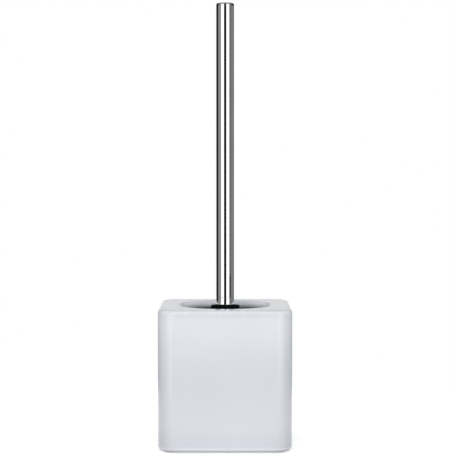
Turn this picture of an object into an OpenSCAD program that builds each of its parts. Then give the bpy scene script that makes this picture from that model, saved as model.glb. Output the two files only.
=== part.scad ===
// Square ceramic toilet brush holder with its lift-out brush.
// A hollow glazed body stands on four pads. The brush stands in it on its
// bristles: a chromed tube handle screws into a replaceable tufted head.
// The origin is on the ground below the middle, +Z is up, -Y is the front.

/* [Holder] */
// Outer width and depth of the ceramic body
holder_w = 110; // [98:1:150]
// Height of the ceramic body above its pads
holder_h = 115.5; // [96:0.5:160]
// Radius of the upright corners, seen from above
corner_r = 14; // [10:0.5:22]
// Radius of the edge round the top face
top_edge_r = 3; // [2:0.5:9]
// Radius of the edge round the base
base_edge_r = 3; // [1:0.5:6]
// Thickness of the side walls
wall = 5.5; // [4:0.5:8]
// Thickness of the floor
floor_t = 7; // [5:0.5:10]
// Thickness of the top face, which ends in a rolled lip
roof_t = 6; // [4:0.5:9]
// Diameter of the round mouth in the top face
mouth_d = 74; // [60:1:86]
// Inside radius where the walls meet the floor and the top
cavity_edge_r = 5; // [2:0.5:8]
// Width of the unglazed rim that carries the pads
foot_rim_w = 16; // [12:1:20]
// Depth of the hollow inside the rim
foot_recess = 2; // [1:0.5:3]

/* [Foot pads] */
// Diameter of each anti-slip pad
pad_d = 9; // [6:0.5:11]
// Thickness of each pad
pad_h = 1; // [0.5:0.25:2]

/* [Handle] */
// Outer diameter of the handle tube
tube_d = 15; // [14:0.5:20]
// Wall thickness of the handle tube
tube_wall = 1; // [0.8:0.1:1.2]
// Length of the handle tube
tube_len = 244.4; // [180:0.1:300]
// Height of the cap's straight rim above the tube
cap_rim_h = 2.2; // [0.8:0.1:3]
// Height of the cap's shallow dome
cap_dome_h = 0.6; // [0.4:0.1:3]
// Length of the cap's plug inside the tube
cap_plug_len = 8; // [4:0.5:15]
// Visible height of the ferrule below the tube
ferrule_h = 6; // [4:0.1:12]
// Growth of the ferrule's radius from its seam down to its foot
ferrule_flare = 0.25; // [0:0.05:1]
// Length of the ferrule's plug inside the tube
ferrule_plug_len = 21; // [16:0.5:30]
// Chamfer on each side of the seam between tube and ferrule
seam_chamfer = 0.3; // [0.1:0.1:0.5]

/* [Screw joint] */
// Diameter of the threaded stud
stud_d = 10; // [8:0.5:10]
// Length of stud held in the ferrule
stud_hold = 17; // [10:0.5:20]
// Length of stud screwed into the brush head
stud_engage = 15; // [10:0.5:16]
// Chamfer at each end of the stud
stud_chamfer = 1; // [0.5:0.1:1.5]
// Depth left free beyond each end of the stud
stud_end_gap = 0.6; // [0.3:0.1:2]

/* [Collar and washer] */
// Diameter of the black drip collar
collar_d = 24; // [20:0.5:40]
// Thickness of the drip collar at its middle
collar_t = 4.7; // [3:0.1:6]
// Fall of the collar's top from the washer to its outer edge, which sheds drips
collar_fall = 0.4; // [0:0.1:1]
// Depth of the collar's middle below the holder's top face
collar_drop = 0.4; // [0:0.1:4]
// Chamfer on the collar's two outer edges
collar_chamfer = 0.3; // [0.2:0.1:0.8]
// Thickness of the rubber washer on the collar
washer_t = 0.7; // [0.5:0.1:3]
// Step from the ferrule's foot in to the washer's outside
washer_inset = 0.2; // [0.1:0.1:0.6]

/* [Brush head] */
// Diameter of the head's tufted core
core_d = 26; // [21:0.5:32]
// Diameter of the head's neck
neck_d = 17; // [15:0.5:19]
// Height of the cone between core and neck
shoulder_h = 5; // [3:0.5:8]
// Height of the plain neck up to the collar
neck_h = 19; // [18:0.5:24]
// Height of bare core above the top row and below the first
row_margin = 3; // [2:0.5:5]
// Rows of tufts round the side of the core
side_rows = 6; // [3:1:7]
// Tufts in each side row
tufts_per_row = 12; // [8:1:12]
// Diameter of each tuft hole
tuft_hole_d = 3; // [2.8:0.1:3.2]
// Depth of each tuft hole, where its neighbours leave room for it
tuft_hole_depth = 5; // [4:0.5:6]
// Least wall between neighbouring tuft holes
hole_web = 0.4; // [0.3:0.1:0.6]
// Length of the wire anchor across each hole
anchor_len = 2.6; // [2:0.1:2.6]
// Height of the wire anchor along the hole
anchor_h = 1; // [0.6:0.1:1.5]
// Thickness of the wire anchor
anchor_t = 0.4; // [0.3:0.1:0.6]

/* [Clearances] */
// Radial gap between the bristle tips and the mouth
mouth_clearance = 4; // [1:0.5:5]
// Gap between the lowest bristle tips and the floor inside
stand_gap = 0.3; // [0.2:0.1:1]
// Radial gap of a plug in its tube, and of the stud in its holes
fit_gap = 0.05; // [0.02:0.01:0.1]
// Radial gap round the stud in the collar and in the washer
loose_gap = 0.3; // [0.2:0.1:0.5]
// Gap round a tuft and its anchor in their hole
tuft_gap = 0.1; // [0.05:0.05:0.2]
// Gap between the tips of neighbouring tufts
tip_gap = 1.5; // [0.5:0.1:4]

/* [Hidden] */
$fn = 64;
pad_count = 4;
// The rows on the domed end stand this many degrees apart
dome_step = 22.5;
// Tufts in each of them, from the highest row to the lowest
dome_tufts = [tufts_per_row, 9, 5, 1];

// Holder
top_z = pad_h + holder_h;
floor_z = pad_h + floor_t;
roof_z = top_z - roof_t;
cavity_w = holder_w - 2 * wall;
cavity_corner_r = corner_r - wall;
cavity_fillet = min(cavity_edge_r, cavity_corner_r - 0.1);
mouth_r = mouth_d / 2;
lip_r = roof_t / 2;
rim_half = holder_w / 2 - base_edge_r;
recess_half = rim_half - foot_rim_w;
recess_corner_r = corner_r / 2;
pad_offset = rim_half - foot_rim_w / 2;

// Brush, from the collar up
collar_z = top_z - collar_drop - collar_t;
washer_z = collar_z + collar_t;
ferrule_z = washer_z + washer_t;
tube_z = ferrule_z + ferrule_h;
cap_z = tube_z + tube_len;
tube_r = tube_d / 2;
ferrule_foot_r = tube_r + ferrule_flare;
washer_r = ferrule_foot_r - washer_inset;
plug_r = tube_r - tube_wall - fit_gap;
stud_r = stud_d / 2;
stud_low_z = collar_z - stud_engage;
stud_high_z = ferrule_z + stud_hold;
loose_r = stud_r + loose_gap;

// Brush, from the collar down
bristle_r = mouth_r - mouth_clearance;
core_r = core_d / 2;
neck_r = neck_d / 2;
dome_z = floor_z + stand_gap + bristle_r;
core_top_z = collar_z - neck_h - shoulder_h;
row_pitch = (core_top_z - dome_z - 2 * row_margin) / (side_rows - 1);
hole_r = tuft_hole_d / 2;
// Distance from the dome's centre at which its rows' holes would lose their web
closest_r = (tuft_hole_d + hole_web) / (2 * sin(dome_step / 2));
hole_start = max(core_r - tuft_hole_depth, closest_r);
anchor_start = hole_start + tuft_gap;
tuft_start = anchor_start + anchor_h + tuft_gap;
half_step = 180 / tufts_per_row;
side_row_list = [for (k = [0:side_rows - 1])
    [dome_z + row_margin + k * row_pitch, 0, tufts_per_row, (k % 2) * half_step]];
dome_row_list = [for (k = [0:len(dome_tufts) - 1])
    [dome_z, (k + 1) * dome_step, dome_tufts[k], half_step]];
// Each row: height of its centre, angle below level, tufts, angle of the first
tuft_rows = concat(side_row_list, dome_row_list);
// Tufts spread until their tips nearly meet the nearest neighbour's
tip_spacing = min(
    2 * row_pitch,
    norm([2 * bristle_r * sin(half_step / 2), row_pitch]),
    2 * bristle_r * sin(dome_step / 2)
);
tuft_tip_r = (tip_spacing - tip_gap) / 2;

// ---- Shared shapes ----

// A quarter disc with its centre at (x, y), kept on the side named by the signs
module quarter_disc(x, y, r, up) {
    intersection() {
        translate([x, y]) circle(r);
        translate([x, up ? y : y - r]) square(r);
    }
}

// The upright section of a rounded edge: straight inside, rounded outside
module edge_section(reach, h, low_r, high_r) {
    translate([0, low_r]) square([reach, h - low_r - high_r]);
    if (low_r > 0) {
        square([reach - low_r, low_r]);
        quarter_disc(reach - low_r, low_r, low_r, false);
    }
    if (high_r > 0) {
        translate([0, h - high_r]) square([reach - high_r, high_r]);
        quarter_disc(reach - high_r, h - high_r, high_r, true);
    }
}

// A square block with round upright corners and round lower and upper edges
module rounded_block(w, h, plan_r, low_r, high_r) {
    side = w - 2 * plan_r;
    translate([-side / 2, -side / 2, 0]) cube([side, side, h]);
    for (turn = [0:90:270]) rotate([0, 0, turn]) translate([side / 2, side / 2, 0]) {
        rotate_extrude(angle = 90) edge_section(plan_r, h, low_r, high_r);
        rotate([90, 0, 0]) linear_extrude(height = side) edge_section(plan_r, h, low_r, high_r);
    }
}

// Places its child once for each tuft of a row, with +Z along the tuft
module along_row(row) {
    for (i = [0:row[2] - 1])
        translate([0, 0, row[0]])
            rotate([0, 90 + row[1], row[3] + i * 360 / row[2]])
                children();
}

// ---- Holder ----

// Cuts the mouth and leaves a full round lip on the top face's edge
module mouth_cut() {
    reach = mouth_r + lip_r;
    rotate_extrude(angle = 360) difference() {
        translate([0, roof_z - lip_r]) square([reach, roof_t + 2 * lip_r]);
        translate([reach, roof_z + lip_r]) circle(lip_r);
        translate([mouth_r, roof_z - 2 * lip_r]) square([2 * lip_r, 2 * lip_r]);
    }
}

module holder_body() {
    color("white") difference() {
        translate([0, 0, pad_h])
            rounded_block(holder_w, holder_h, corner_r, base_edge_r, top_edge_r);
        translate([0, 0, floor_z])
            rounded_block(cavity_w, roof_z - floor_z, cavity_corner_r, cavity_fillet, cavity_fillet);
        mouth_cut();
        translate([0, 0, pad_h - foot_recess])
            rounded_block(2 * recess_half, 2 * foot_recess, recess_corner_r, 0, foot_recess / 2);
    }
}

module foot_pad(i) {
    color("gainsboro") rotate([0, 0, 90 * i])
        translate([pad_offset, pad_offset, 0]) cylinder(h = pad_h, d = pad_d);
}

// ---- Handle ----

module handle_tube() {
    inner_r = tube_r - tube_wall;
    color("silver") rotate_extrude(angle = 360) polygon([
        [inner_r, tube_z],
        [tube_r - seam_chamfer, tube_z],
        [tube_r, tube_z + seam_chamfer],
        [tube_r, cap_z],
        [inner_r, cap_z]
    ]);
}

module handle_end_cap() {
    rim_z = cap_z + cap_rim_h;
    dome_r = (tube_r * tube_r + cap_dome_h * cap_dome_h) / (2 * cap_dome_h);
    color("silver") rotate_extrude(angle = 360) {
        translate([0, cap_z - cap_plug_len]) square([plug_r, cap_plug_len]);
        translate([0, cap_z]) square([tube_r, cap_rim_h]);
        intersection() {
            translate([0, rim_z + cap_dome_h - dome_r]) circle(dome_r);
            translate([0, rim_z]) square([tube_d, cap_dome_h + 1]);
        }
    }
}

module handle_ferrule() {
    bore_r = stud_r + fit_gap;
    plug_z = tube_z + ferrule_plug_len;
    color("silver") rotate_extrude(angle = 360) polygon([
        [bore_r, ferrule_z],
        [ferrule_foot_r - seam_chamfer, ferrule_z],
        [ferrule_foot_r, ferrule_z + seam_chamfer],
        [tube_r, tube_z - seam_chamfer],
        [tube_r - seam_chamfer, tube_z],
        [plug_r, tube_z],
        [plug_r, plug_z - seam_chamfer],
        [plug_r - seam_chamfer, plug_z],
        [0, plug_z],
        [0, stud_high_z + stud_end_gap],
        [bore_r, stud_high_z + stud_end_gap]
    ]);
}

module threaded_stud() {
    color("lightgray") rotate_extrude(angle = 360) polygon([
        [0, stud_low_z],
        [stud_r - stud_chamfer, stud_low_z],
        [stud_r, stud_low_z + stud_chamfer],
        [stud_r, stud_high_z - stud_chamfer],
        [stud_r - stud_chamfer, stud_high_z],
        [0, stud_high_z]
    ]);
}

// ---- Collar and washer ----

module seal_washer() {
    color("black") rotate_extrude(angle = 360)
        translate([loose_r, washer_z]) square([washer_r - loose_r, washer_t]);
}

module drip_collar() {
    outer_r = collar_d / 2;
    edge_z = washer_z - collar_fall;
    color("black") rotate_extrude(angle = 360) polygon([
        [loose_r, collar_z],
        [outer_r - collar_chamfer, collar_z],
        [outer_r, collar_z + collar_chamfer],
        [outer_r, edge_z - collar_chamfer],
        [outer_r - collar_chamfer, edge_z],
        [washer_r, washer_z],
        [loose_r, washer_z]
    ]);
}

// ---- Brush head ----

module head_core() {
    color("black") difference() {
        rotate_extrude(angle = 360) {
            quarter_disc(0, dome_z, core_r, false);
            polygon([
                [0, dome_z],
                [core_r, dome_z],
                [core_r, core_top_z],
                [neck_r, core_top_z + shoulder_h],
                [neck_r, collar_z],
                [0, collar_z]
            ]);
        }
        translate([0, 0, stud_low_z - stud_end_gap])
            cylinder(h = stud_engage + stud_end_gap + 1, r = stud_r + fit_gap);
        for (row = tuft_rows) along_row(row)
            translate([0, 0, hole_start]) cylinder(h = core_r - hole_start + 1, r = hole_r);
    }
}

module tuft_anchors() {
    color("silver") for (row = tuft_rows) along_row(row)
        translate([-anchor_len / 2, -anchor_t / 2, anchor_start])
            cube([anchor_len, anchor_t, anchor_h]);
}

// One row of tufts: each leaves its hole with a small gap and spreads to its tip
module tuft_row(k) {
    leaving_r = hole_r - tuft_gap;
    spread = (tuft_tip_r - leaving_r) / (bristle_r - core_r);
    root_r = leaving_r - spread * (core_r - tuft_start);
    color("whitesmoke") along_row(tuft_rows[k - 1])
        translate([0, 0, tuft_start])
            cylinder(h = bristle_r - tuft_start, r1 = root_r, r2 = tuft_tip_r);
}

holder_body();
for (i = [1:pad_count])
    foot_pad(i);
handle_tube();
handle_end_cap();
handle_ferrule();
threaded_stud();
seal_washer();
drip_collar();
head_core();
tuft_anchors();
for (k = [1:len(tuft_rows)])
    tuft_row(k);
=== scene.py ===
"""The looks of the toilet brush holder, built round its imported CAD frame.

Pieces are worked out in millimetres. Materials and the studio are in metres.
"""

import math

import bmesh
import bpy
import numpy as np
from mathutils import Matrix, Vector, noise


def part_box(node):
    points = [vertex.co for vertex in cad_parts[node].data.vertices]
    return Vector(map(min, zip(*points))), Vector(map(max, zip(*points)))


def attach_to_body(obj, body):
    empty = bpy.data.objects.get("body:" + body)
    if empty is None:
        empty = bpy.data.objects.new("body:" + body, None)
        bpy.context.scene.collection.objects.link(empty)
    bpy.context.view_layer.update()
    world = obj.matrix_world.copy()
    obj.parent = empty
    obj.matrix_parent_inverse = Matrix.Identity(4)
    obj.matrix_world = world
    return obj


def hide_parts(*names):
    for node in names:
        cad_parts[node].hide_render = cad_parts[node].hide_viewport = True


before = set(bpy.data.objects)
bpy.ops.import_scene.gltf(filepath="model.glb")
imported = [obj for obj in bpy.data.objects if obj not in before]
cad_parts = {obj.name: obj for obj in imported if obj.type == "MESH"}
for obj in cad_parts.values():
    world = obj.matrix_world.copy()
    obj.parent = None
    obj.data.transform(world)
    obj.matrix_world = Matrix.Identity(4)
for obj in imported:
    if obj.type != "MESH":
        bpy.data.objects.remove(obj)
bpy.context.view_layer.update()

MM = 0.001

# ---- Places from the frame ----


def box_mm(node):
    low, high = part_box(node)
    return low / MM, high / MM


body_low, body_high = box_mm("holder_body")
tube_low, tube_high = box_mm("handle_tube")
ferrule_low, ferrule_high = box_mm("handle_ferrule")
cap_low, cap_high = box_mm("handle_end_cap")
stud_low, stud_high = box_mm("threaded_stud")
washer_low, washer_high = box_mm("seal_washer")
collar_low, collar_high = box_mm("drip_collar")
core_low, core_high = box_mm("head_core")
first_row_high = box_mm("tuft_row_1")[1]

# ---- Sizes that the frame's boxes don't give ----

# The ceramic body
HALF = body_high.x
CORNER_R = 14
TOP_EDGE_R = 3
BASE_EDGE_R = 3.4
WALL = 5.5
ROOF_T = 6
FLOOR_T = 7
MOUTH_R = 37
LIP_R = ROOF_T / 2
CAVITY_EDGE_R = 5
RECESS_HALF = 36
RECESS_DEPTH = 2
RECESS_CORNER_R = CORNER_R / 2
RECESS_EDGE_R = 1
FOOT_EDGE_R = 0.5
PAD_EDGE_R = 0.35
PAD_TOP_EDGE_R = 0.1

# The handle
TUBE_R = tube_high.x
TUBE_INNER_R = 6.5
TUBE_EDGE_R = 0.1
PLUG_R = 6.45
PLUG_CHAMFER = 0.3
CAP_DOME_H = 0.6
CAP_DOME_INSET = 0.3
CAP_SHOULDER_R = 1.6
CAP_SHOULDER_RISE = 0.05
SEAM_DEPTH = 0.22
SEAM_OUTER_R = 0.12
SEAM_INNER_R = 0.06
FERRULE_FOOT_R = ferrule_high.x
FERRULE_EDGE_R = 0.3
STUD_R = stud_high.x
STUD_CHAMFER = 1.1
THREAD_PITCH = 3
THREAD_DEPTH = 0.8
BORE_R = 5.05
BORE_SPARE = 0.6
BORE_EDGE_R = 0.1

# The washer and the collar
LOOSE_R = 5.3
WASHER_EDGE_R = 0.25
WASHER_BORE_EDGE_R = 0.15
COLLAR_FALL = 0.15
COLLAR_EDGE_R = 0.35
COLLAR_UNDER_EDGE_R = 0.6
COLLAR_BORE_EDGE_R = 0.2

# The brush head
CORE_R = core_high.x
NECK_R = 8.5
NECK_H = 19
NECK_LOW_Z = core_high.z - NECK_H
NECK_EDGE_R = 0.3
SHOULDER_H = 5
SHOULDER_LOW_R = 0.8
SHOULDER_HIGH_R = 1.5
DOME_Z = core_low.z + CORE_R
HOLE_R = 1.5
HOLE_START = 8.71
HOLE_END = CORE_R + 1
BRISTLE_R = first_row_high.x
TUFT_START = 9.95

# Each row of tufts: height of its centre, degrees below level, tufts, first angle
SIDE_ROWS = 6
ROW_MARGIN = 3
FIRST_ROW_Z = DOME_Z + ROW_MARGIN
LAST_ROW_Z = NECK_LOW_Z - SHOULDER_H - ROW_MARGIN
ROW_PITCH = (LAST_ROW_Z - FIRST_ROW_Z) / (SIDE_ROWS - 1)
ROW_TURN = 15
DOME_ROW_STEP = 22.5
TUFT_TIP_R = first_row_high.z - FIRST_ROW_Z
TUFT_ROWS = [
    (FIRST_ROW_Z + k * ROW_PITCH, 0, 12, k % 2 * ROW_TURN) for k in range(SIDE_ROWS)
]
TUFT_ROWS += [
    (DOME_Z, k * DOME_ROW_STEP, count, ROW_TURN)
    for k, count in enumerate((12, 9, 5, 1), 1)
]

# ---- Meshes ----

# Lengths closer than this are taken as the same
SAME = 0.01
# Points of a cut mesh that are closer than this are merged
MERGE = 0.004
# Steps round a rounded corner of a profile, and how far past its ends a holding
# point stands, as a part of its radius
CORNER_STEPS = 6
HOLD = 0.35
# Columns round a turned piece
COLUMNS, PAD_COLUMNS, CHROME_COLUMNS = 192, 64, 256


def ramp(x):
    """0 to 1 with soft ends"""
    x = min(max(x, 0.0), 1.0)
    return x * x * (3 - 2 * x)


def arc(steps, start, end):
    """Angles in radians from start to end degrees"""
    return [math.radians(start + (end - start) * i / steps) for i in range(steps + 1)]


def new_object(name, verts, faces, smooth=True):
    """verts in millimetres"""
    mesh = bpy.data.meshes.new(name)
    mesh.from_pydata((np.asarray(verts, float) * MM).tolist(), [], faces)
    mesh.validate()
    if smooth:
        mesh.shade_smooth()
    obj = bpy.data.objects.new(name, mesh)
    bpy.context.scene.collection.objects.link(obj)
    return obj


def new_values(obj, name, values, domain="POINT"):
    layer = obj.data.attributes.new(name, "FLOAT", domain)
    layer.data.foreach_set("value", np.asarray(values, np.float32))


def attach(obj, material, body, node):
    """Gives a piece its look, and puts it in the place of a node of the frame"""
    obj.data.materials.append(material)
    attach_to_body(obj, body)
    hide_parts(node)


def clean(mesh):
    """Merges the slivers that cutting leaves, so that the mesh closes"""
    tidy = bmesh.new()
    tidy.from_mesh(mesh)
    bmesh.ops.remove_doubles(tidy, verts=tidy.verts, dist=MERGE * MM)
    bmesh.ops.dissolve_degenerate(tidy, edges=tidy.edges, dist=MERGE * MM)
    tidy.to_mesh(mesh)
    tidy.free()


def band(low, high, columns):
    """Faces between two rings of vertices, whose first are low and high"""
    faces = []
    for j in range(columns):
        k = (j + 1) % columns
        faces.append((low + j, low + k, high + k, high + j))
    return faces


def closed_skin(rows, columns):
    """Faces over rows of vertices, with vertex 0 below them and one more above them"""
    top = 1 + (rows - 1) * columns
    faces = [(0, 1 + (j + 1) % columns, 1 + j) for j in range(columns)]
    for low in range(1, top, columns):
        faces += band(low, low + columns, columns)
    faces += [(top + j, top + (j + 1) % columns, top + columns) for j in range(columns)]
    return faces


def hoop(centre, side, up, radius, count, start=0.0):
    """Points round a centre in the plane of side and up, from the angle start"""
    angles = [2 * math.pi * j / count + start for j in range(count)]
    return [centre + radius * (math.cos(a) * side + math.sin(a) * up) for a in angles]


def rounded(corners, closed=True):
    """The profile through corners (r, z, radius), each rounded by its own radius,
    with a holding point on either side of a rounding where there is room"""
    points = []
    count = len(corners)
    for i, (r, z, radius) in enumerate(corners):
        here = np.array((r, z), float)
        if radius <= 0 or not closed and i in (0, count - 1):
            points.append(here)
            continue
        back = np.array(corners[i - 1][:2], float) - here
        on = np.array(corners[(i + 1) % count][:2], float) - here
        back_len, on_len = np.linalg.norm(back), np.linalg.norm(on)
        back, on = back / back_len, on / on_len
        half = math.acos(np.clip(back @ on, -1, 1)) / 2
        reach = radius / math.tan(half)
        hold = HOLD * radius
        middle = back + on
        centre = here + middle / np.linalg.norm(middle) * radius / math.sin(half)
        start, end = here + back * reach - centre, here + on * reach - centre
        if reach + hold < back_len / 2:
            points.append(here + back * (reach + hold))
        sweep = math.pi - 2 * half
        for s in range(CORNER_STEPS + 1):
            a = s / CORNER_STEPS
            part = start * math.sin((1 - a) * sweep) + end * math.sin(a * sweep)
            points.append(centre + part / math.sin(sweep))
        if reach + hold < on_len / 2:
            points.append(here + on * (reach + hold))
    return points


def lathe(name, profile, closed=True, columns=COLUMNS, shape=None):
    """Turns a profile of (r, z) about the axis. shape(r, z, angle) may change r."""
    rings, verts, faces = [], [], []
    turn = np.arange(columns) * 2 * math.pi / columns
    for r, z in profile:
        if r < SAME:
            rings.append([len(verts)] * columns)
            verts.append((0, 0, z))
            continue
        rings.append(list(range(len(verts), len(verts) + columns)))
        for a in turn:
            radius = shape(r, z, a) if shape else r
            verts.append((radius * math.cos(a), radius * math.sin(a), z))
    pairs = list(zip(rings, rings[1:]))
    if closed:
        pairs.append((rings[-1], rings[0]))
    for low, high in pairs:
        for j in range(columns):
            k = (j + 1) % columns
            face = [low[j], low[k], high[k], high[j]]
            face = [v for n, v in enumerate(face) if v != face[n - 1]]
            if len(face) > 2:
                faces.append(face)
    return new_object(name, verts, faces)


# ---- The ceramic body ----

SIDE_COLUMNS = 26
CORNER_COLUMNS = 16
RECESS_Z = body_low.z + RECESS_DEPTH
FLOOR_Z = body_low.z + FLOOR_T
ROOF_Z = body_high.z - ROOF_T
CORNER_AXIS = HALF - CORNER_R
# Half widths and corner radii of the rows across the recess and the cavity's floor
RECESS_ROWS = ((12, 4), (24, 6), (33, 6.5))
FLOOR_ROWS = ((40, 5), (28, 6), (14, 5))

# How thin the glaze is on the base's edge and on the top, and how much more on the top's
# edges. The greyer colour there is thinner glaze, and on the top and its edges it is also
# painted shade that holds down the light falling on them.
BASE_THIN = 0.2
TOP_THIN_SHADE = 0.35
EDGE_THIN_SHADE = 0.65
# How far the thin glaze and its painted shade reach along the walls from both ends, as a
# part of them
THIN_SHADE_REACH = 1 / 12
# Degrees round the base's edge up to which it is bare
BARE_TO = 25
# A face is bare if more than this share of its corners is
BARE_SHARE = 0.6
# Degrees round the lip between which the painted shade of the inside comes in
INSIDE_FROM, INSIDE_TO = 120, 180

# Slip-cast walls are never quite flat: how far they bow and wander in, and the size
# of the wandering
BOW = 0.35
WANDER = 0.16
WANDER_SIZE = 38

# The walls carry painted shade: below the top their glaze colour turns darker and a
# little bluer, and darkest just above the foot. Tops and spans are parts of the body's
# height.
SHADE_TOP, SHADE_SPAN = 1.02, 0.55
FOOT_SHADE_TOP, FOOT_SHADE_SPAN = 0.2, 0.18
FOOT_SHADE = 0.4


def square_ring(half, corner):
    """A rounded square, column by column, from the front end of its right side"""
    flat = half - corner
    points = []
    for q in range(4):
        c, s = round(math.cos(q * math.pi / 2)), round(math.sin(q * math.pi / 2))
        quarter = []
        for i in range(SIDE_COLUMNS):
            quarter.append((half, flat * (2 * i / SIDE_COLUMNS - 1)))
        for i in range(CORNER_COLUMNS):
            a = math.pi / 2 * i / CORNER_COLUMNS
            quarter.append((flat + corner * math.cos(a), flat + corner * math.sin(a)))
        points += [(x * c - y * s, x * s + y * c) for x, y in quarter]
    return np.array(points)


TOP_SQUARE = square_ring(HALF - TOP_EDGE_R, CORNER_R - TOP_EDGE_R)
BEARINGS = TOP_SQUARE / np.linalg.norm(TOP_SQUARE, axis=1)[:, None]


def circle_ring(radius):
    """A circle whose columns lie on the same bearings as the top square's"""
    return BEARINGS * radius


# The body's skin goes round once, from below the foot, up the outside and over the lip,
# to the middle of the cavity's floor. One row of it is (ring, z, how bare, how thin the
# glaze is, with painted shade on the top, how far in, with painted shade in the mouth and
# the cavity).


def foot_rows():
    """Rows over the recess under the body and over its foot"""
    base_z = body_low.z
    rows = [
        (square_ring(half, corner), RECESS_Z, 0.0, 0.0, 0.0)
        for half, corner in RECESS_ROWS
    ]
    for a in arc(4, 0, 90):
        back = RECESS_EDGE_R * (1 - math.sin(a))
        ring = square_ring(RECESS_HALF - back, RECESS_CORNER_R - back)
        fall = RECESS_EDGE_R * (1 - math.cos(a))
        rows.append((ring, RECESS_Z - fall, 0.0, 0.0, 0.0))
    for a in arc(3, 0, 90):
        grown = FOOT_EDGE_R * (1 - math.cos(a))
        ring = square_ring(RECESS_HALF + grown, RECESS_CORNER_R + grown)
        rise = FOOT_EDGE_R * (1 - math.sin(a))
        rows.append((ring, base_z + rise, 1.0, 0.0, 0.0))
    rim, foot = HALF - BASE_EDGE_R, RECESS_HALF + FOOT_EDGE_R
    for t in (0.1, 0.3, 0.6, 0.9):
        corner = RECESS_CORNER_R + (rim - CORNER_AXIS - RECESS_CORNER_R) * t
        rows.append((square_ring(foot + (rim - foot) * t, corner), base_z, 1.0, 0.0, 0.0))
    return rows


def wall_row(half, z, bare=0.0, thin_and_shade=0.0, inside=0.0):
    """A row whose corners turn about the same axes as the body's"""
    return square_ring(half, half - CORNER_AXIS), z, bare, thin_and_shade, inside


def outside_rows():
    """Rows up the outside, from the foot's edge to the round mouth's lip"""
    base_z, top_z = body_low.z, body_high.z
    low_z, high_z = base_z + BASE_EDGE_R, top_z - TOP_EDGE_R
    rows = []
    for a in arc(10, 0, 90):
        half = HALF - BASE_EDGE_R + BASE_EDGE_R * math.sin(a)
        z = base_z + BASE_EDGE_R * (1 - math.cos(a))
        bare = 1.0 if a < math.radians(BARE_TO) else 0.0
        rows.append(wall_row(half, z, bare=bare, thin_and_shade=BASE_THIN * math.sin(2 * a)))
    steps = 30
    for i in range(1, steps):
        t = i / steps
        thin_and_shade = TOP_THIN_SHADE * max(0.0, 1 - min(t, 1 - t) / THIN_SHADE_REACH)
        rows.append(wall_row(HALF, low_z + (high_z - low_z) * t, thin_and_shade=thin_and_shade))
    for a in arc(18, 0, 90):
        half = HALF - TOP_EDGE_R * (1 - math.cos(a))
        z = high_z + TOP_EDGE_R * math.sin(a)
        rows.append(wall_row(half, z, thin_and_shade=TOP_THIN_SHADE + EDGE_THIN_SHADE * math.sin(2 * a)))
    lip = circle_ring(MOUTH_R + LIP_R)
    for t in (0.04, 0.15, 0.3, 0.5, 0.7, 0.85, 0.96):
        rows.append((TOP_SQUARE * (1 - t) + lip * t, top_z, 0.0, TOP_THIN_SHADE, 0.0))
    for a in arc(28, 90, 270):
        ring = circle_ring(MOUTH_R + LIP_R + LIP_R * math.cos(a))
        z = top_z - LIP_R + LIP_R * math.sin(a)
        thin_and_shade = max(0.0, TOP_THIN_SHADE + EDGE_THIN_SHADE * math.sin(a))
        inside = ramp((math.degrees(a) - INSIDE_FROM) / (INSIDE_TO - INSIDE_FROM))
        rows.append((ring, z, 0.0, thin_and_shade, inside))
    return rows


def inside_rows():
    """Rows out under the top, then down the cavity and in over its floor"""
    cavity = HALF - WALL
    lip = circle_ring(MOUTH_R + LIP_R)
    half = cavity - CAVITY_EDGE_R
    inner = square_ring(half, half - CORNER_AXIS)
    rows = []
    for t in (0.1, 0.4, 0.7, 0.9):
        rows.append((lip * (1 - t) + inner * t, ROOF_Z, 0.0, 0.0, 1.0))
    for a in arc(8, 0, 90):
        half = cavity - CAVITY_EDGE_R * (1 - math.sin(a))
        fall = CAVITY_EDGE_R * (1 - math.cos(a))
        rows.append(wall_row(half, ROOF_Z - fall, inside=1.0))
    steps = 14
    span = ROOF_Z - FLOOR_Z - 2 * CAVITY_EDGE_R
    for i in range(1, steps):
        z = ROOF_Z - CAVITY_EDGE_R - span * i / steps
        rows.append(wall_row(cavity, z, inside=1.0))
    for a in arc(8, 0, 90):
        half = cavity - CAVITY_EDGE_R * (1 - math.cos(a))
        rise = CAVITY_EDGE_R * (1 - math.sin(a))
        rows.append(wall_row(half, FLOOR_Z + rise, inside=1.0))
    for half, corner in FLOOR_ROWS:
        rows.append((square_ring(half, corner), FLOOR_Z, 0.0, 0.0, 1.0))
    return rows


def bowed(x, y, z, lift):
    """A point of an outside wall, bowed in at a height of lift, from 0 to 1"""
    along = min(abs(x), abs(y)) / CORNER_AXIS
    dip = BOW * max(0.0, 1 - along**2) * math.sin(math.pi * lift)
    dip += WANDER * (0.5 + 0.5 * noise.noise(Vector((x, y, z)) / WANDER_SIZE))
    shrink = 1 - dip / HALF
    return (x * shrink, y, z) if abs(x) > abs(y) else (x, y * shrink, z)


def low_shade_at(lift):
    """How much painted shade a wall has at a height of lift, from 0 to 1"""
    wall = ramp((SHADE_TOP - lift) / SHADE_SPAN)
    foot = ramp((FOOT_SHADE_TOP - lift) / FOOT_SHADE_SPAN)
    return (1 - FOOT_SHADE) * wall + FOOT_SHADE * foot


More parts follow.
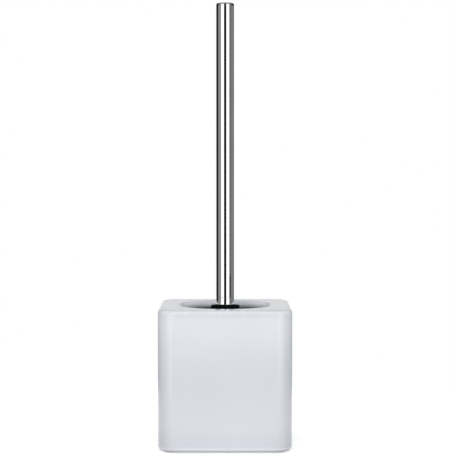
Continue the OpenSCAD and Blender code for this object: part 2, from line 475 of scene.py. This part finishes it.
def make_body():
    rows = foot_rows() + outside_rows() + inside_rows()
    columns = len(BEARINGS)
    verts, values = [(0, 0, RECESS_Z)], [(0.0, 0.0, 0.0, 0.0)]
    for ring, z, bare, thin_and_shade, inside in rows:
        lift = (z - body_low.z) / (body_high.z - body_low.z)
        # Only the outside walls get the painted shade low down
        low_shade = low_shade_at(lift) if np.abs(ring).max() > HALF - SAME else 0.0
        values += [(bare, thin_and_shade, inside, low_shade)] * columns
        for x, y in ring:
            on_wall = max(abs(x), abs(y)) > HALF - SAME
            verts.append(bowed(x, y, z, lift) if on_wall else (x, y, z))
    verts.append((0, 0, FLOOR_Z))
    values.append((0.0, 0.0, 1.0, 0.0))
    bare, thin_and_shade, inside, low_shade = zip(*values)
    faces = closed_skin(len(rows), columns)
    unglazed = [sum(bare[v] for v in face) / len(face) > BARE_SHARE for face in faces]
    obj = new_object("ceramic_body", verts, faces)
    new_values(obj, "thin_and_shade", thin_and_shade)
    new_values(obj, "inside", inside)
    new_values(obj, "low_shade", low_shade)
    attach(obj, glaze, "holder", "holder_body")
    obj.data.materials.append(bisque)
    obj.data.polygons.foreach_set("material_index", np.array(unglazed, np.int32))


def make_pads():
    for i in range(1, 5):
        low, high = box_mm(f"foot_pad_{i}")
        radius = (high.x - low.x) / 2
        middle = (low + high) / 2
        profile = rounded(
            [
                (0, low.z, 0),
                (radius, low.z, PAD_EDGE_R),
                (radius, high.z, PAD_TOP_EDGE_R),
                (0, high.z, 0),
            ],
            closed=False,
        )
        pad = lathe(f"pad_{i}", profile, closed=False, columns=PAD_COLUMNS)
        pad.data.transform(Matrix.Translation((middle.x * MM, middle.y * MM, 0)))
        attach(pad, silicone, "holder", f"foot_pad_{i}")


# ---- The handle ----


def chrome_piece(name, profile, node, closed=True):
    piece = lathe(name, profile, closed=closed, columns=CHROME_COLUMNS)
    attach(piece, chrome, "handle", node)


def make_tube():
    profile = rounded(
        [
            (TUBE_INNER_R, tube_low.z, 0),
            (TUBE_R - SEAM_DEPTH, tube_low.z, SEAM_INNER_R),
            (TUBE_R, tube_low.z + SEAM_DEPTH, SEAM_OUTER_R),
            (TUBE_R, tube_high.z, TUBE_EDGE_R),
            (TUBE_INNER_R, tube_high.z, 0),
        ]
    )
    chrome_piece("tube", profile, "handle_tube")


def make_end_cap():
    """A plug, a rounded shoulder and a shallow dome"""
    dome_r = (TUBE_R**2 + CAP_DOME_H**2) / (2 * CAP_DOME_H)
    dome_edge_r = TUBE_R - CAP_SHOULDER_R - CAP_DOME_INSET
    dome = [
        (dome_r * math.sin(a), cap_high.z - dome_r * (1 - math.cos(a)))
        for a in arc(12, math.degrees(math.asin(dome_edge_r / dome_r)), 0)
    ]
    shoulder_z = cap_high.z - CAP_DOME_H + CAP_SHOULDER_RISE
    shoulder = rounded(
        [
            (PLUG_R, tube_high.z, 0),
            (TUBE_R, tube_high.z, TUBE_EDGE_R),
            (TUBE_R, shoulder_z, CAP_SHOULDER_R),
            (*dome[0], 0),
        ],
        closed=False,
    )
    plug = [
        (0, cap_low.z),
        (PLUG_R - PLUG_CHAMFER, cap_low.z),
        (PLUG_R, cap_low.z + PLUG_CHAMFER),
    ]
    chrome_piece("end_cap", plug + shoulder + dome[1:], "handle_end_cap", closed=False)


def make_ferrule():
    bore_top_z = stud_high.z + BORE_SPARE
    profile = rounded(
        [
            (BORE_R, ferrule_low.z, BORE_EDGE_R),
            (FERRULE_FOOT_R, ferrule_low.z, FERRULE_EDGE_R),
            (TUBE_R, tube_low.z - SEAM_DEPTH, SEAM_OUTER_R),
            (TUBE_R - SEAM_DEPTH, tube_low.z, SEAM_INNER_R),
            (PLUG_R, tube_low.z, 0),
            (PLUG_R, ferrule_high.z, FERRULE_EDGE_R),
            (0, ferrule_high.z, 0),
            (0, bore_top_z, 0),
            (BORE_R, bore_top_z, 0),
        ]
    )
    chrome_piece("ferrule", profile, "handle_ferrule")


# The thread's flank and half its crest, as parts of the pitch
FLANK, CREST = 0.3, 0.14
THREAD_COLUMNS = 64
THREAD_STEP = THREAD_PITCH / 18


def make_stud():
    """A right-handed screw thread with chamfered ends"""
    levels = np.arange(stud_low.z, stud_high.z + THREAD_STEP / 2, THREAD_STEP)
    levels[-1] = stud_high.z
    verts = [(0, 0, stud_low.z)]
    for z in levels:
        inset = min(z - stud_low.z, stud_high.z - z)
        limit = STUD_R - STUD_CHAMFER + inset
        for j in range(THREAD_COLUMNS):
            a = 2 * math.pi * j / THREAD_COLUMNS
            phase = abs((z / THREAD_PITCH - j / THREAD_COLUMNS) % 1 - 0.5)
            rise = ramp((FLANK + CREST - phase) / FLANK)
            radius = min(STUD_R - THREAD_DEPTH + THREAD_DEPTH * rise, limit)
            verts.append((radius * math.cos(a), radius * math.sin(a), z))
    verts.append((0, 0, stud_high.z))
    stud = new_object("stud", verts, closed_skin(len(levels), THREAD_COLUMNS))
    attach(stud, steel, "handle", "threaded_stud")


def make_washer():
    outer = washer_high.x
    profile = rounded(
        [
            (LOOSE_R, washer_low.z, WASHER_BORE_EDGE_R),
            (outer, washer_low.z, WASHER_EDGE_R),
            (outer, washer_high.z, WASHER_EDGE_R),
            (LOOSE_R, washer_high.z, WASHER_BORE_EDGE_R),
        ]
    )
    piece = lathe("washer", profile)
    attach(piece, rubber, "washer", "seal_washer")


def make_collar():
    """Its top falls a little from the washer outwards, so that it sheds drips"""
    outer = collar_high.x
    profile = rounded(
        [
            (LOOSE_R, collar_low.z, COLLAR_BORE_EDGE_R),
            (outer, collar_low.z, COLLAR_UNDER_EDGE_R),
            (outer, collar_high.z - COLLAR_FALL, COLLAR_EDGE_R),
            (washer_high.x, collar_high.z, 0),
            (LOOSE_R, collar_high.z, COLLAR_BORE_EDGE_R),
        ]
    )
    piece = lathe("collar", profile)
    attach(piece, plastic, "collar", "drip_collar")


# ---- The brush head ----

FLUTES = 24
FLUTE_DEPTH = 0.35
FLUTE_LOW, FLUTE_HIGH = NECK_LOW_Z + 2.5, core_high.z - 2
FLUTE_FADE = 1.2
# The most between two rows of points on the core's straight stretches
ROW_STEP = 1.2
HOLE_SIDES = 20
# Edges of the cut core that turn more than this many degrees stay sharp
SHARP_ANGLE = 40


def fluted(r, z, angle):
    """Shallow grip flutes round the neck"""
    if abs(r - NECK_R) > SAME:
        return r
    held = ramp((z - FLUTE_LOW) / FLUTE_FADE) * ramp((FLUTE_HIGH - z) / FLUTE_FADE)
    return r - FLUTE_DEPTH * held * (0.5 - 0.5 * math.cos(FLUTES * angle))


def tuft_frames():
    """For each row, the (origin, axis, side, up) of each of its tufts"""
    rows = []
    for z, below, count, first in TUFT_ROWS:
        frames = []
        for i in range(count):
            a, b = math.radians(first + i * 360 / count), math.radians(below)
            axis = np.array(
                (math.cos(b) * math.cos(a), math.cos(b) * math.sin(a), -math.sin(b))
            )
            side = np.array((-math.sin(a), math.cos(a), 0))
            frames.append((np.array((0, 0, z)), axis, side, np.cross(axis, side)))
        rows.append(frames)
    return rows


def core_profile():
    """From the head's lowest point up over its neck, and down the stud's bore"""
    dome = [(CORE_R * math.cos(a), DOME_Z - CORE_R * math.sin(a)) for a in arc(20, 90, 0)]
    dome[0] = (0, core_low.z)
    bore_end_z = stud_low.z - BORE_SPARE
    upper = rounded(
        [
            (CORE_R, DOME_Z, 0),
            (CORE_R, NECK_LOW_Z - SHOULDER_H, SHOULDER_LOW_R),
            (NECK_R, NECK_LOW_Z, SHOULDER_HIGH_R),
            (NECK_R, core_high.z, NECK_EDGE_R),
            (BORE_R, core_high.z, NECK_EDGE_R),
            (BORE_R, bore_end_z, 0),
            (0, bore_end_z, 0),
        ],
        closed=False,
    )
    profile = dome[:-1]
    for r, z in upper:
        last_r, last_z = profile[-1]
        if abs(r - last_r) < SAME and z - last_z > ROW_STEP:
            pieces = math.ceil((z - last_z) / ROW_STEP)
            profile += [(r, last_z + (z - last_z) * i / pieces) for i in range(1, pieces)]
        profile.append((r, z))
    return profile


def make_hole_cutter():
    """One rod through the core's skin for each tuft's hole"""
    verts, faces = [], []
    for frames in tuft_frames():
        for origin, axis, side, up in frames:
            low, high = len(verts), len(verts) + HOLE_SIDES
            for reach in (HOLE_START, HOLE_END):
                verts += hoop(origin + axis * reach, side, up, HOLE_R, HOLE_SIDES)
            faces.append([high - 1 - j for j in range(HOLE_SIDES)])
            faces.append([high + j for j in range(HOLE_SIDES)])
            faces += band(low, high, HOLE_SIDES)
    return new_object("tuft_holes", verts, faces, smooth=False)


def make_core():
    core = lathe("head_core_moulded", core_profile(), closed=False, shape=fluted)
    cutter = make_hole_cutter()
    cut = core.modifiers.new("holes", "BOOLEAN")
    cut.operation, cut.solver, cut.object = "DIFFERENCE", "MANIFOLD", cutter
    bpy.context.view_layer.update()
    depsgraph = bpy.context.evaluated_depsgraph_get()
    mesh = bpy.data.meshes.new_from_object(core.evaluated_get(depsgraph))
    core.modifiers.clear()
    core.data = mesh
    bpy.data.objects.remove(cutter)
    clean(mesh)
    mesh.shade_smooth()
    mesh.set_sharp_from_angle(angle=math.radians(SHARP_ANGLE))
    mesh.materials.clear()
    attach(core, plastic, "brush_head", "head_core")


FILAMENTS = 60
FILAMENT_R = 0.21
FILAMENT_POINTS = 8
FILAMENT_SIDES = 4
# How wide a tuft stands in its hole, how unevenly its tips lie, how far inside the
# head's outline it is trimmed at least and how much more at most, and how it flares
ROOT_R = 1.15
TIP_SCATTER = 0.45
TRIM_LEAST, TRIM_MORE = 0.1, 0.5
FLARE = 1.25
# The height and the length of the waves that are pressed into the filaments
CRIMP, CRIMP_LENGTH = 0.16, 5.2
# A filament is straight up to here, a little inside the core's skin
STRAIGHT_R = CORE_R - 1
SEED = 7


def filament_path(tuft, is_dome, rng):
    """The middle line of one filament, trimmed to the head's round outline, and the
    phase of its waves"""
    origin, axis, side, up = tuft
    spot, turn = math.sqrt(rng.random()), rng.random() * 2 * math.pi
    outwards = np.array((math.cos(turn), math.sin(turn)))
    root = ROOT_R * spot * outwards
    tip = TUFT_TIP_R * spot * outwards + rng.normal(0, TIP_SCATTER, 2)
    trim = BRISTLE_R - TRIM_LEAST - TRIM_MORE * rng.random()
    lost = tip @ tip if is_dome else tip[0] ** 2
    reach = math.sqrt(trim**2 - lost)
    at = TUFT_START + (reach - TUFT_START) * np.linspace(0, 1, FILAMENT_POINTS)
    free = np.clip((at - STRAIGHT_R) / (reach - STRAIGHT_R), 0, 1)
    off = root + (tip - root) * (free**FLARE)[:, None]
    lean, phase = rng.random() * math.pi, rng.random() * 2 * math.pi
    wave = CRIMP * np.sin(2 * math.pi * at / CRIMP_LENGTH + phase) * free
    off += wave[:, None] * np.array((math.cos(lean), math.sin(lean)))
    return origin + at[:, None] * axis + off[:, :1] * side + off[:, 1:] * up, phase


def make_tuft_row(number, frames, rng):
    """All filaments of one row"""
    verts, faces, tone = [], [], []
    for tuft in frames:
        for _ in range(FILAMENTS):
            path, phase = filament_path(tuft, number > SIDE_ROWS, rng)
            root, tip = len(verts), len(verts) + (len(path) - 1) * FILAMENT_SIDES
            for point in path:
                verts += hoop(point, *tuft[2:], FILAMENT_R, FILAMENT_SIDES, phase)
            tone += [rng.random()] * (len(verts) - root)
            for low in range(root, tip, FILAMENT_SIDES):
                faces += band(low, low + FILAMENT_SIDES, FILAMENT_SIDES)
            faces.append([tip + j for j in range(FILAMENT_SIDES)])
            faces.append([root + FILAMENT_SIDES - 1 - j for j in range(FILAMENT_SIDES)])
    obj = new_object(f"bristles_{number}", verts, faces)
    new_values(obj, "tone", tone)
    attach(obj, bristle, "brush_head", f"tuft_row_{number}")


# ---- Materials ----


def start_material(name):
    material = bpy.data.materials.new(name)
    material.use_nodes = True
    material.node_tree.nodes.clear()
    return material, material.node_tree


def add(tree, kind, inputs=None, **settings):
    """A node whose inputs are sockets to link from or values to set"""
    node = tree.nodes.new(kind)
    for key, value in settings.items():
        setattr(node, key, value)
    for key, value in (inputs or {}).items():
        if isinstance(value, bpy.types.NodeSocket):
            tree.links.new(value, node.inputs[key])
        else:
            node.inputs[key].default_value = value
    return node


def math_value(tree, operation, first, second):
    made = add(tree, "ShaderNodeMath", {0: first, 1: second}, operation=operation)
    return made.outputs["Value"]


def place(tree, stretch=(1, 1, 1)):
    """The point's place in its own piece, stretched"""
    spot = add(tree, "ShaderNodeTexCoord").outputs["Object"]
    mapping = add(tree, "ShaderNodeMapping", {"Vector": spot, "Scale": stretch})
    return mapping.outputs["Vector"]


def noise_value(tree, scale, detail=2, stretch=(1, 1, 1)):
    inputs = {"Vector": place(tree, stretch), "Scale": scale, "Detail": detail}
    return add(tree, "ShaderNodeTexNoise", inputs).outputs["Fac"]


def ranged(tree, value, low, high, start=0.3, end=0.7):
    """value mapped from start..end, where most noise lies, to low..high"""
    inputs = {
        "Value": value,
        "From Min": start,
        "From Max": end,
        "To Min": low,
        "To Max": high,
    }
    return add(tree, "ShaderNodeMapRange", inputs).outputs["Result"]


def grey(level):
    return level, level, level


def mixed(tree, factor, first, second):
    """Each colour is a socket or (red, green, blue)"""
    first, second = (
        value if isinstance(value, bpy.types.NodeSocket) else (*value, 1)
        for value in (first, second)
    )
    inputs = {0: factor, 6: first, 7: second}
    return add(tree, "ShaderNodeMix", inputs, data_type="RGBA").outputs[2]


def clouded(tree, value, first, second):
    """A colour that noise takes from first to second"""
    return mixed(tree, ranged(tree, value, 0, 1), first, second)


def bumped(tree, height, distance, under=None):
    """under is the normal of the bumps that these lie on, if there are any"""
    inputs = {"Height": height, "Distance": distance}
    if under is not None:
        inputs["Normal"] = under
    return add(tree, "ShaderNodeBump", inputs).outputs["Normal"]


def attribute(tree, name):
    return add(tree, "ShaderNodeAttribute", attribute_name=name).outputs["Fac"]


def surface(tree, **inputs):
    named = {key.replace("_", " "): value for key, value in inputs.items()}
    shader = add(tree, "ShaderNodeBsdfPrincipled", named)
    add(tree, "ShaderNodeOutputMaterial", {"Surface": shader.outputs["BSDF"]})


def make_glaze():
    """White over the whole body, with painted shade: darker and bluer low on the walls,
    greyer on the top and its edges, where the glaze is also thinner, and darker within
    the mouth and the cavity
    """
    material, tree = start_material("white_glaze")
    broad = ranged(tree, noise_value(tree, 22), 0, 1)
    colour = mixed(tree, broad, (0.768, 0.784, 0.832), (0.79, 0.804, 0.846))
    # Painted shade: the darker, bluer colour low on the outside walls
    low_shade_colour = mixed(tree, broad, (0.638, 0.644, 0.699), (0.653, 0.657, 0.713))
    colour = mixed(tree, attribute(tree, "low_shade"), colour, low_shade_colour)
    # Painted shade: darker, greyer glaze within the mouth and the cavity
    colour = mixed(tree, attribute(tree, "inside"), colour, (0.64, 0.645, 0.665))
    # Greyer where the glaze is thin, and painted shade on the top and its edges
    patchy = ranged(tree, noise_value(tree, 160, detail=3), 0.2, 0.6)
    thin_and_shade = math_value(tree, "MULTIPLY", attribute(tree, "thin_and_shade"), patchy)
    orange_peel = bumped(tree, noise_value(tree, 420, detail=1), 0.00003)
    surface(
        tree,
        Base_Color=mixed(tree, thin_and_shade, colour, (0.58, 0.58, 0.575)),
        Roughness=ranged(tree, noise_value(tree, 120), 0.17, 0.25),
        IOR=1.5,
        Specular_IOR_Level=0.35,
        Coat_Weight=0.15,
        Coat_Roughness=0.08,
        Normal=bumped(tree, noise_value(tree, 55, detail=1), 0.00016, under=orange_peel),
    )
    return material


def make_bisque():
    """The foot's bare clay"""
    material, tree = start_material("bare_foot")
    grain = noise_value(tree, 900, detail=3)
    surface(
        tree,
        Base_Color=clouded(tree, grain, (0.66, 0.62, 0.56), (0.74, 0.70, 0.64)),
        Roughness=ranged(tree, grain, 0.75, 0.92),
        Normal=bumped(tree, grain, 0.00008),
    )
    return material


def make_chrome():
    """Fine polishing lines along the tube, and very shallow waves"""
    material, tree = start_material("polished_chrome")
    lines = noise_value(tree, 500, stretch=(1, 1, 0.02))
    waves = noise_value(tree, 40, detail=0, stretch=(1, 1, 0.25))
    cloud = noise_value(tree, 45)
    surface(
        tree,
        Base_Color=clouded(tree, cloud, (0.85, 0.855, 0.865), grey(0.90)),
        Metallic=1.0,
        Roughness=ranged(tree, lines, 0.015, 0.035),
        Normal=bumped(tree, waves, 0.000002, under=bumped(tree, lines, 0.0000004)),
    )
    return material


def make_steel():
    """The stud's and the tuft anchors' plated steel"""
    material, tree = start_material("plated_stud")
    cloud = noise_value(tree, 300, detail=3)
    surface(
        tree,
        Base_Color=clouded(tree, cloud, (0.52, 0.52, 0.50), (0.66, 0.66, 0.65)),
        Metallic=1.0,
        Roughness=ranged(tree, cloud, 0.29, 0.4),
        Normal=bumped(tree, noise_value(tree, 1500), 0.00001),
    )
    return material


def make_black(name, roughness, grain_scale, grain_depth):
    """roughness is the least and the most"""
    material, tree = start_material(name)
    grain = noise_value(tree, grain_scale)
    cloud = noise_value(tree, 90)
    surface(
        tree,
        Base_Color=clouded(tree, cloud, grey(0.002), grey(0.004)),
        Roughness=ranged(tree, grain, *roughness),
        Specular_IOR_Level=0.03,
        Normal=bumped(tree, grain, grain_depth),
    )
    return material


def make_silicone():
    material, tree = start_material("pad_silicone")
    cloud = noise_value(tree, 250)
    surface(
        tree,
        Base_Color=clouded(tree, cloud, (0.62, 0.63, 0.63), (0.70, 0.71, 0.70)),
        Roughness=ranged(tree, cloud, 0.45, 0.6),
        Subsurface_Weight=0.3,
        Subsurface_Radius=(0.002, 0.002, 0.002),
        Normal=bumped(tree, noise_value(tree, 1200), 0.00003),
    )
    return material


def make_bristle():
    """Each filament has its own tone, with a little fleck along it"""
    material, tree = start_material("white_bristle")
    fleck = ranged(tree, noise_value(tree, 700), 0, 0.3)
    shade = math_value(tree, "ADD", attribute(tree, "tone"), fleck)
    surface(
        tree,
        Base_Color=mixed(tree, shade, (0.76, 0.77, 0.78), (0.88, 0.88, 0.87)),
        Roughness=ranged(tree, noise_value(tree, 400), 0.3, 0.42),
        Normal=bumped(tree, noise_value(tree, 2500, detail=1), 0.00001),
    )
    return material


# ---- The studio ----

# Bearings round the studio, in degrees from straight behind the camera towards
# its right, and how bright each stretch from there on is in a reflection
STRETCHES = [
    (-180, 0.85),
    (-165, 0.015),
    (-100, 0.28),
    (-53, 1.28),
    (-15, 0.002),
    (15, 1.2),
    (55, 0.16),
    (75, 0.2),
    (95, 0.23),
    (120, 0.17),
    (165, 0.85),
]
# A dark card stands low on the right: its bearings, its level and its top
LOW_CARD_START, LOW_CARD_END, LOW_CARD_LEVEL = 58, 76, 0.01
LOW_CARD_TOP = -0.043
# Above this height the wall behind the object is in shade
WALL_TOP = 0.62
WALL_SHADE = 0.02
RING_R = 2.5
RING_LOW, RING_HIGH = -1.6, 2.2
RING_COLUMNS = 1080
CEILING_LEVEL = 0.2

# The floor fades into the white from FLOOR_CLEAR to FLOOR_FADED, which is just
# inside its edge. FLOOR_LIFT is how much it glows for the rays that show it.
FLOOR_R = 0.42
FLOOR_RINGS = (0.12, 0.2, 0.3, FLOOR_R)
FLOOR_COLUMNS = 96
FLOOR_CLEAR = 0.24
FLOOR_FADED = FLOOR_R * 0.98
FLOOR_LIFT = 0.42
# How much light the floor throws back at the object, near it and far from it
NEAR_R, FAR_R = 0.062, 0.085
NEAR_BOUNCE, FAR_BOUNCE = 0.58, 0.2

WORLD_COLOUR = (0.94, 0.975, 1, 1)
WORLD_FILL = 0.38
WHITE = (1, 1, 1, 1)

# Each lamp's place, the point it faces and its watts
LAMP_SIZE = 1.6
LAMPS = {
    "key": ((-0.7, -2.1, 0.9), (0, 0, 0.15), 29),
    "fill": ((0.8, -2.0, 0.8), (0, 0, 0.15), 19.5),
    "back_left": ((-1.6, 1.6, 0.5), (0, 0, 0.1), 30),
    "back_right": ((1.6, 1.6, 0.5), (0, 0, 0.1), 30),
    "top": ((0, 0.3, 2.2), (0, 0, 0.1), 3),
}

CAMERA_PLACE = (0.0024, -1.3, 0.2379)
DEGREES_BELOW_LEVEL = 2.498
SENSOR, LENS = 36, 121.9


def seen_rays(tree):
    """1 for the rays that show a background: the camera's, reflected and refracted"""
    ray = add(tree, "ShaderNodeLightPath").outputs
    first = math_value(tree, "MAXIMUM", ray["Is Camera Ray"], ray["Is Glossy Ray"])
    return math_value(tree, "MAXIMUM", first, ray["Is Transmission Ray"])


def card_level(bearing, height):
    if height < LOW_CARD_TOP and LOW_CARD_START <= bearing < LOW_CARD_END:
        return LOW_CARD_LEVEL
    level = [value for first, value in STRETCHES if bearing >= first][-1]
    if height > WALL_TOP and abs(bearing) > 90:
        return min(level, WALL_SHADE)
    return level


def make_ring():
    """Cards and gaps round the studio, which only reflections see"""
    heights = (RING_LOW, LOW_CARD_TOP, WALL_TOP, RING_HIGH)
    verts, faces, level = [], [], []
    for z in heights:
        for j in range(RING_COLUMNS):
            a = 2 * math.pi * j / RING_COLUMNS - math.pi
            verts.append((RING_R * math.sin(a), -RING_R * math.cos(a), z))
    for i, (low_z, high_z) in enumerate(zip(heights, heights[1:])):
        faces += band(i * RING_COLUMNS, (i + 1) * RING_COLUMNS, RING_COLUMNS)
        for j in range(RING_COLUMNS):
            bearing = -180 + 360 * (j + 0.5) / RING_COLUMNS
            level.append(card_level(bearing, (low_z + high_z) / 2))
    faces.append([len(verts) - RING_COLUMNS + j for j in range(RING_COLUMNS)])
    level.append(CEILING_LEVEL)
    ring = new_object("studio_cards", np.array(verts) / MM, faces, smooth=False)
    new_values(ring, "level", level, domain="FACE")
    material, tree = start_material("card_light")
    inputs = {"Color": WHITE, "Strength": attribute(tree, "level")}
    glow = add(tree, "ShaderNodeEmission", inputs)
    add(tree, "ShaderNodeOutputMaterial", {"Surface": glow.outputs["Emission"]})
    material.cycles.emission_sampling = "NONE"
    ring.data.materials.append(material)
    ring.visible_camera = False
    ring.visible_diffuse = False
    ring.visible_shadow = False
    ring.visible_transmission = False
    ring.visible_volume_scatter = False


def make_paper():
    """The floor's look: paper for the rays that show it, and the bounce for others"""
    material, tree = start_material("pale_floor")
    grain = noise_value(tree, 300)
    paper = clouded(tree, grain, grey(0.80), grey(0.82))
    seen = seen_rays(tree)
    far = add(
        tree, "ShaderNodeVectorMath", {0: place(tree)}, operation="LENGTH"
    ).outputs["Value"]
    outwards = ranged(tree, far, 0, 1, start=NEAR_R, end=FAR_R)
    bounce = mixed(tree, outwards, grey(NEAR_BOUNCE), grey(FAR_BOUNCE))
    matt = add(tree, "ShaderNodeBsdfDiffuse", {"Color": mixed(tree, seen, bounce, paper)})
    strength = math_value(tree, "MULTIPLY", seen, FLOOR_LIFT)
    lift = add(tree, "ShaderNodeEmission", {"Color": WHITE, "Strength": strength})
    inputs = {0: matt.outputs["BSDF"], 1: lift.outputs["Emission"]}
    both = add(tree, "ShaderNodeAddShader", inputs)
    fade = add(
        tree,
        "ShaderNodeMapRange",
        {"Value": far, "From Min": FLOOR_CLEAR, "From Max": FLOOR_FADED},
        interpolation_type="SMOOTHSTEP",
    ).outputs["Result"]
    clear = add(tree, "ShaderNodeBsdfTransparent")
    inputs = {0: fade, 1: both.outputs["Shader"], 2: clear.outputs["BSDF"]}
    out = add(tree, "ShaderNodeMixShader", inputs)
    add(tree, "ShaderNodeOutputMaterial", {"Surface": out.outputs["Shader"]})
    material.cycles.emission_sampling = "NONE"
    return material


def make_floor():
    """A pale floor that keeps the shadow and fades into the white around it"""
    verts, faces = [(0, 0, 0)], []
    for r in FLOOR_RINGS:
        for j in range(FLOOR_COLUMNS):
            a = 2 * math.pi * j / FLOOR_COLUMNS
            verts.append((r * math.cos(a), r * math.sin(a), 0))
    for j in range(FLOOR_COLUMNS):
        faces.append((0, 1 + j, 1 + (j + 1) % FLOOR_COLUMNS))
    for i in range(len(FLOOR_RINGS) - 1):
        inner, outer = 1 + i * FLOOR_COLUMNS, 1 + (i + 1) * FLOOR_COLUMNS
        faces += band(outer, inner, FLOOR_COLUMNS)
    floor = new_object("floor", np.array(verts) / MM, faces)
    floor.data.materials.append(make_paper())


def make_world():
    world = bpy.data.worlds.new("studio")
    bpy.context.scene.world = world
    world.use_nodes = True
    tree = world.node_tree
    tree.nodes.clear()
    inputs = {"Color": WORLD_COLOUR, "Strength": WORLD_FILL}
    fill = add(tree, "ShaderNodeBackground", inputs).outputs["Background"]
    inputs = {"Color": WHITE, "Strength": 1.0}
    white = add(tree, "ShaderNodeBackground", inputs).outputs["Background"]
    out = add(tree, "ShaderNodeMixShader", {0: seen_rays(tree), 1: fill, 2: white})
    add(tree, "ShaderNodeOutputWorld", {"Surface": out.outputs["Shader"]})


def soft_light(name, spot, aim, watts):
    data = bpy.data.lights.new(name, "AREA")
    data.shape, data.size, data.energy = "SQUARE", LAMP_SIZE, watts
    lamp = bpy.data.objects.new(name, data)
    bpy.context.scene.collection.objects.link(lamp)
    lamp.location = spot
    lamp.rotation_mode = "QUATERNION"
    lamp.rotation_quaternion = (Vector(aim) - Vector(spot)).to_track_quat("-Z", "Y")
    lamp.visible_camera = False
    lamp.visible_glossy = False


def make_camera():
    data = bpy.data.cameras.new("camera")
    data.sensor_width, data.lens = SENSOR, LENS
    data.clip_start, data.clip_end = 0.05, 20
    camera = bpy.data.objects.new("camera", data)
    bpy.context.scene.collection.objects.link(camera)
    camera.location = CAMERA_PLACE
    camera.rotation_euler = (math.radians(90 - DEGREES_BELOW_LEVEL), 0, 0)
    bpy.context.scene.camera = camera


# ---- Everything together ----

bpy.context.scene.view_settings.view_transform = "Standard"

glaze, bisque, chrome = make_glaze(), make_bisque(), make_chrome()
steel, silicone, bristle = make_steel(), make_silicone(), make_bristle()
plastic = make_black("black_plastic", (0.55, 0.68), 1400, 0.00002)
rubber = make_black("black_rubber", (0.7, 0.82), 1800, 0.00003)

make_body()
make_pads()
make_tube()
make_end_cap()
make_ferrule()
make_stud()
make_washer()
make_collar()
make_core()
rng = np.random.default_rng(SEED)
for row_number, row_frames in enumerate(tuft_frames(), 1):
    make_tuft_row(row_number, row_frames, rng)
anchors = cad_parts["tuft_anchors"]
anchors.data.materials.clear()
anchors.data.materials.append(steel)

make_floor()
make_ring()
make_world()
for lamp_name, (lamp_spot, lamp_aim, lamp_watts) in LAMPS.items():
    soft_light(lamp_name, lamp_spot, lamp_aim, lamp_watts)
make_camera()
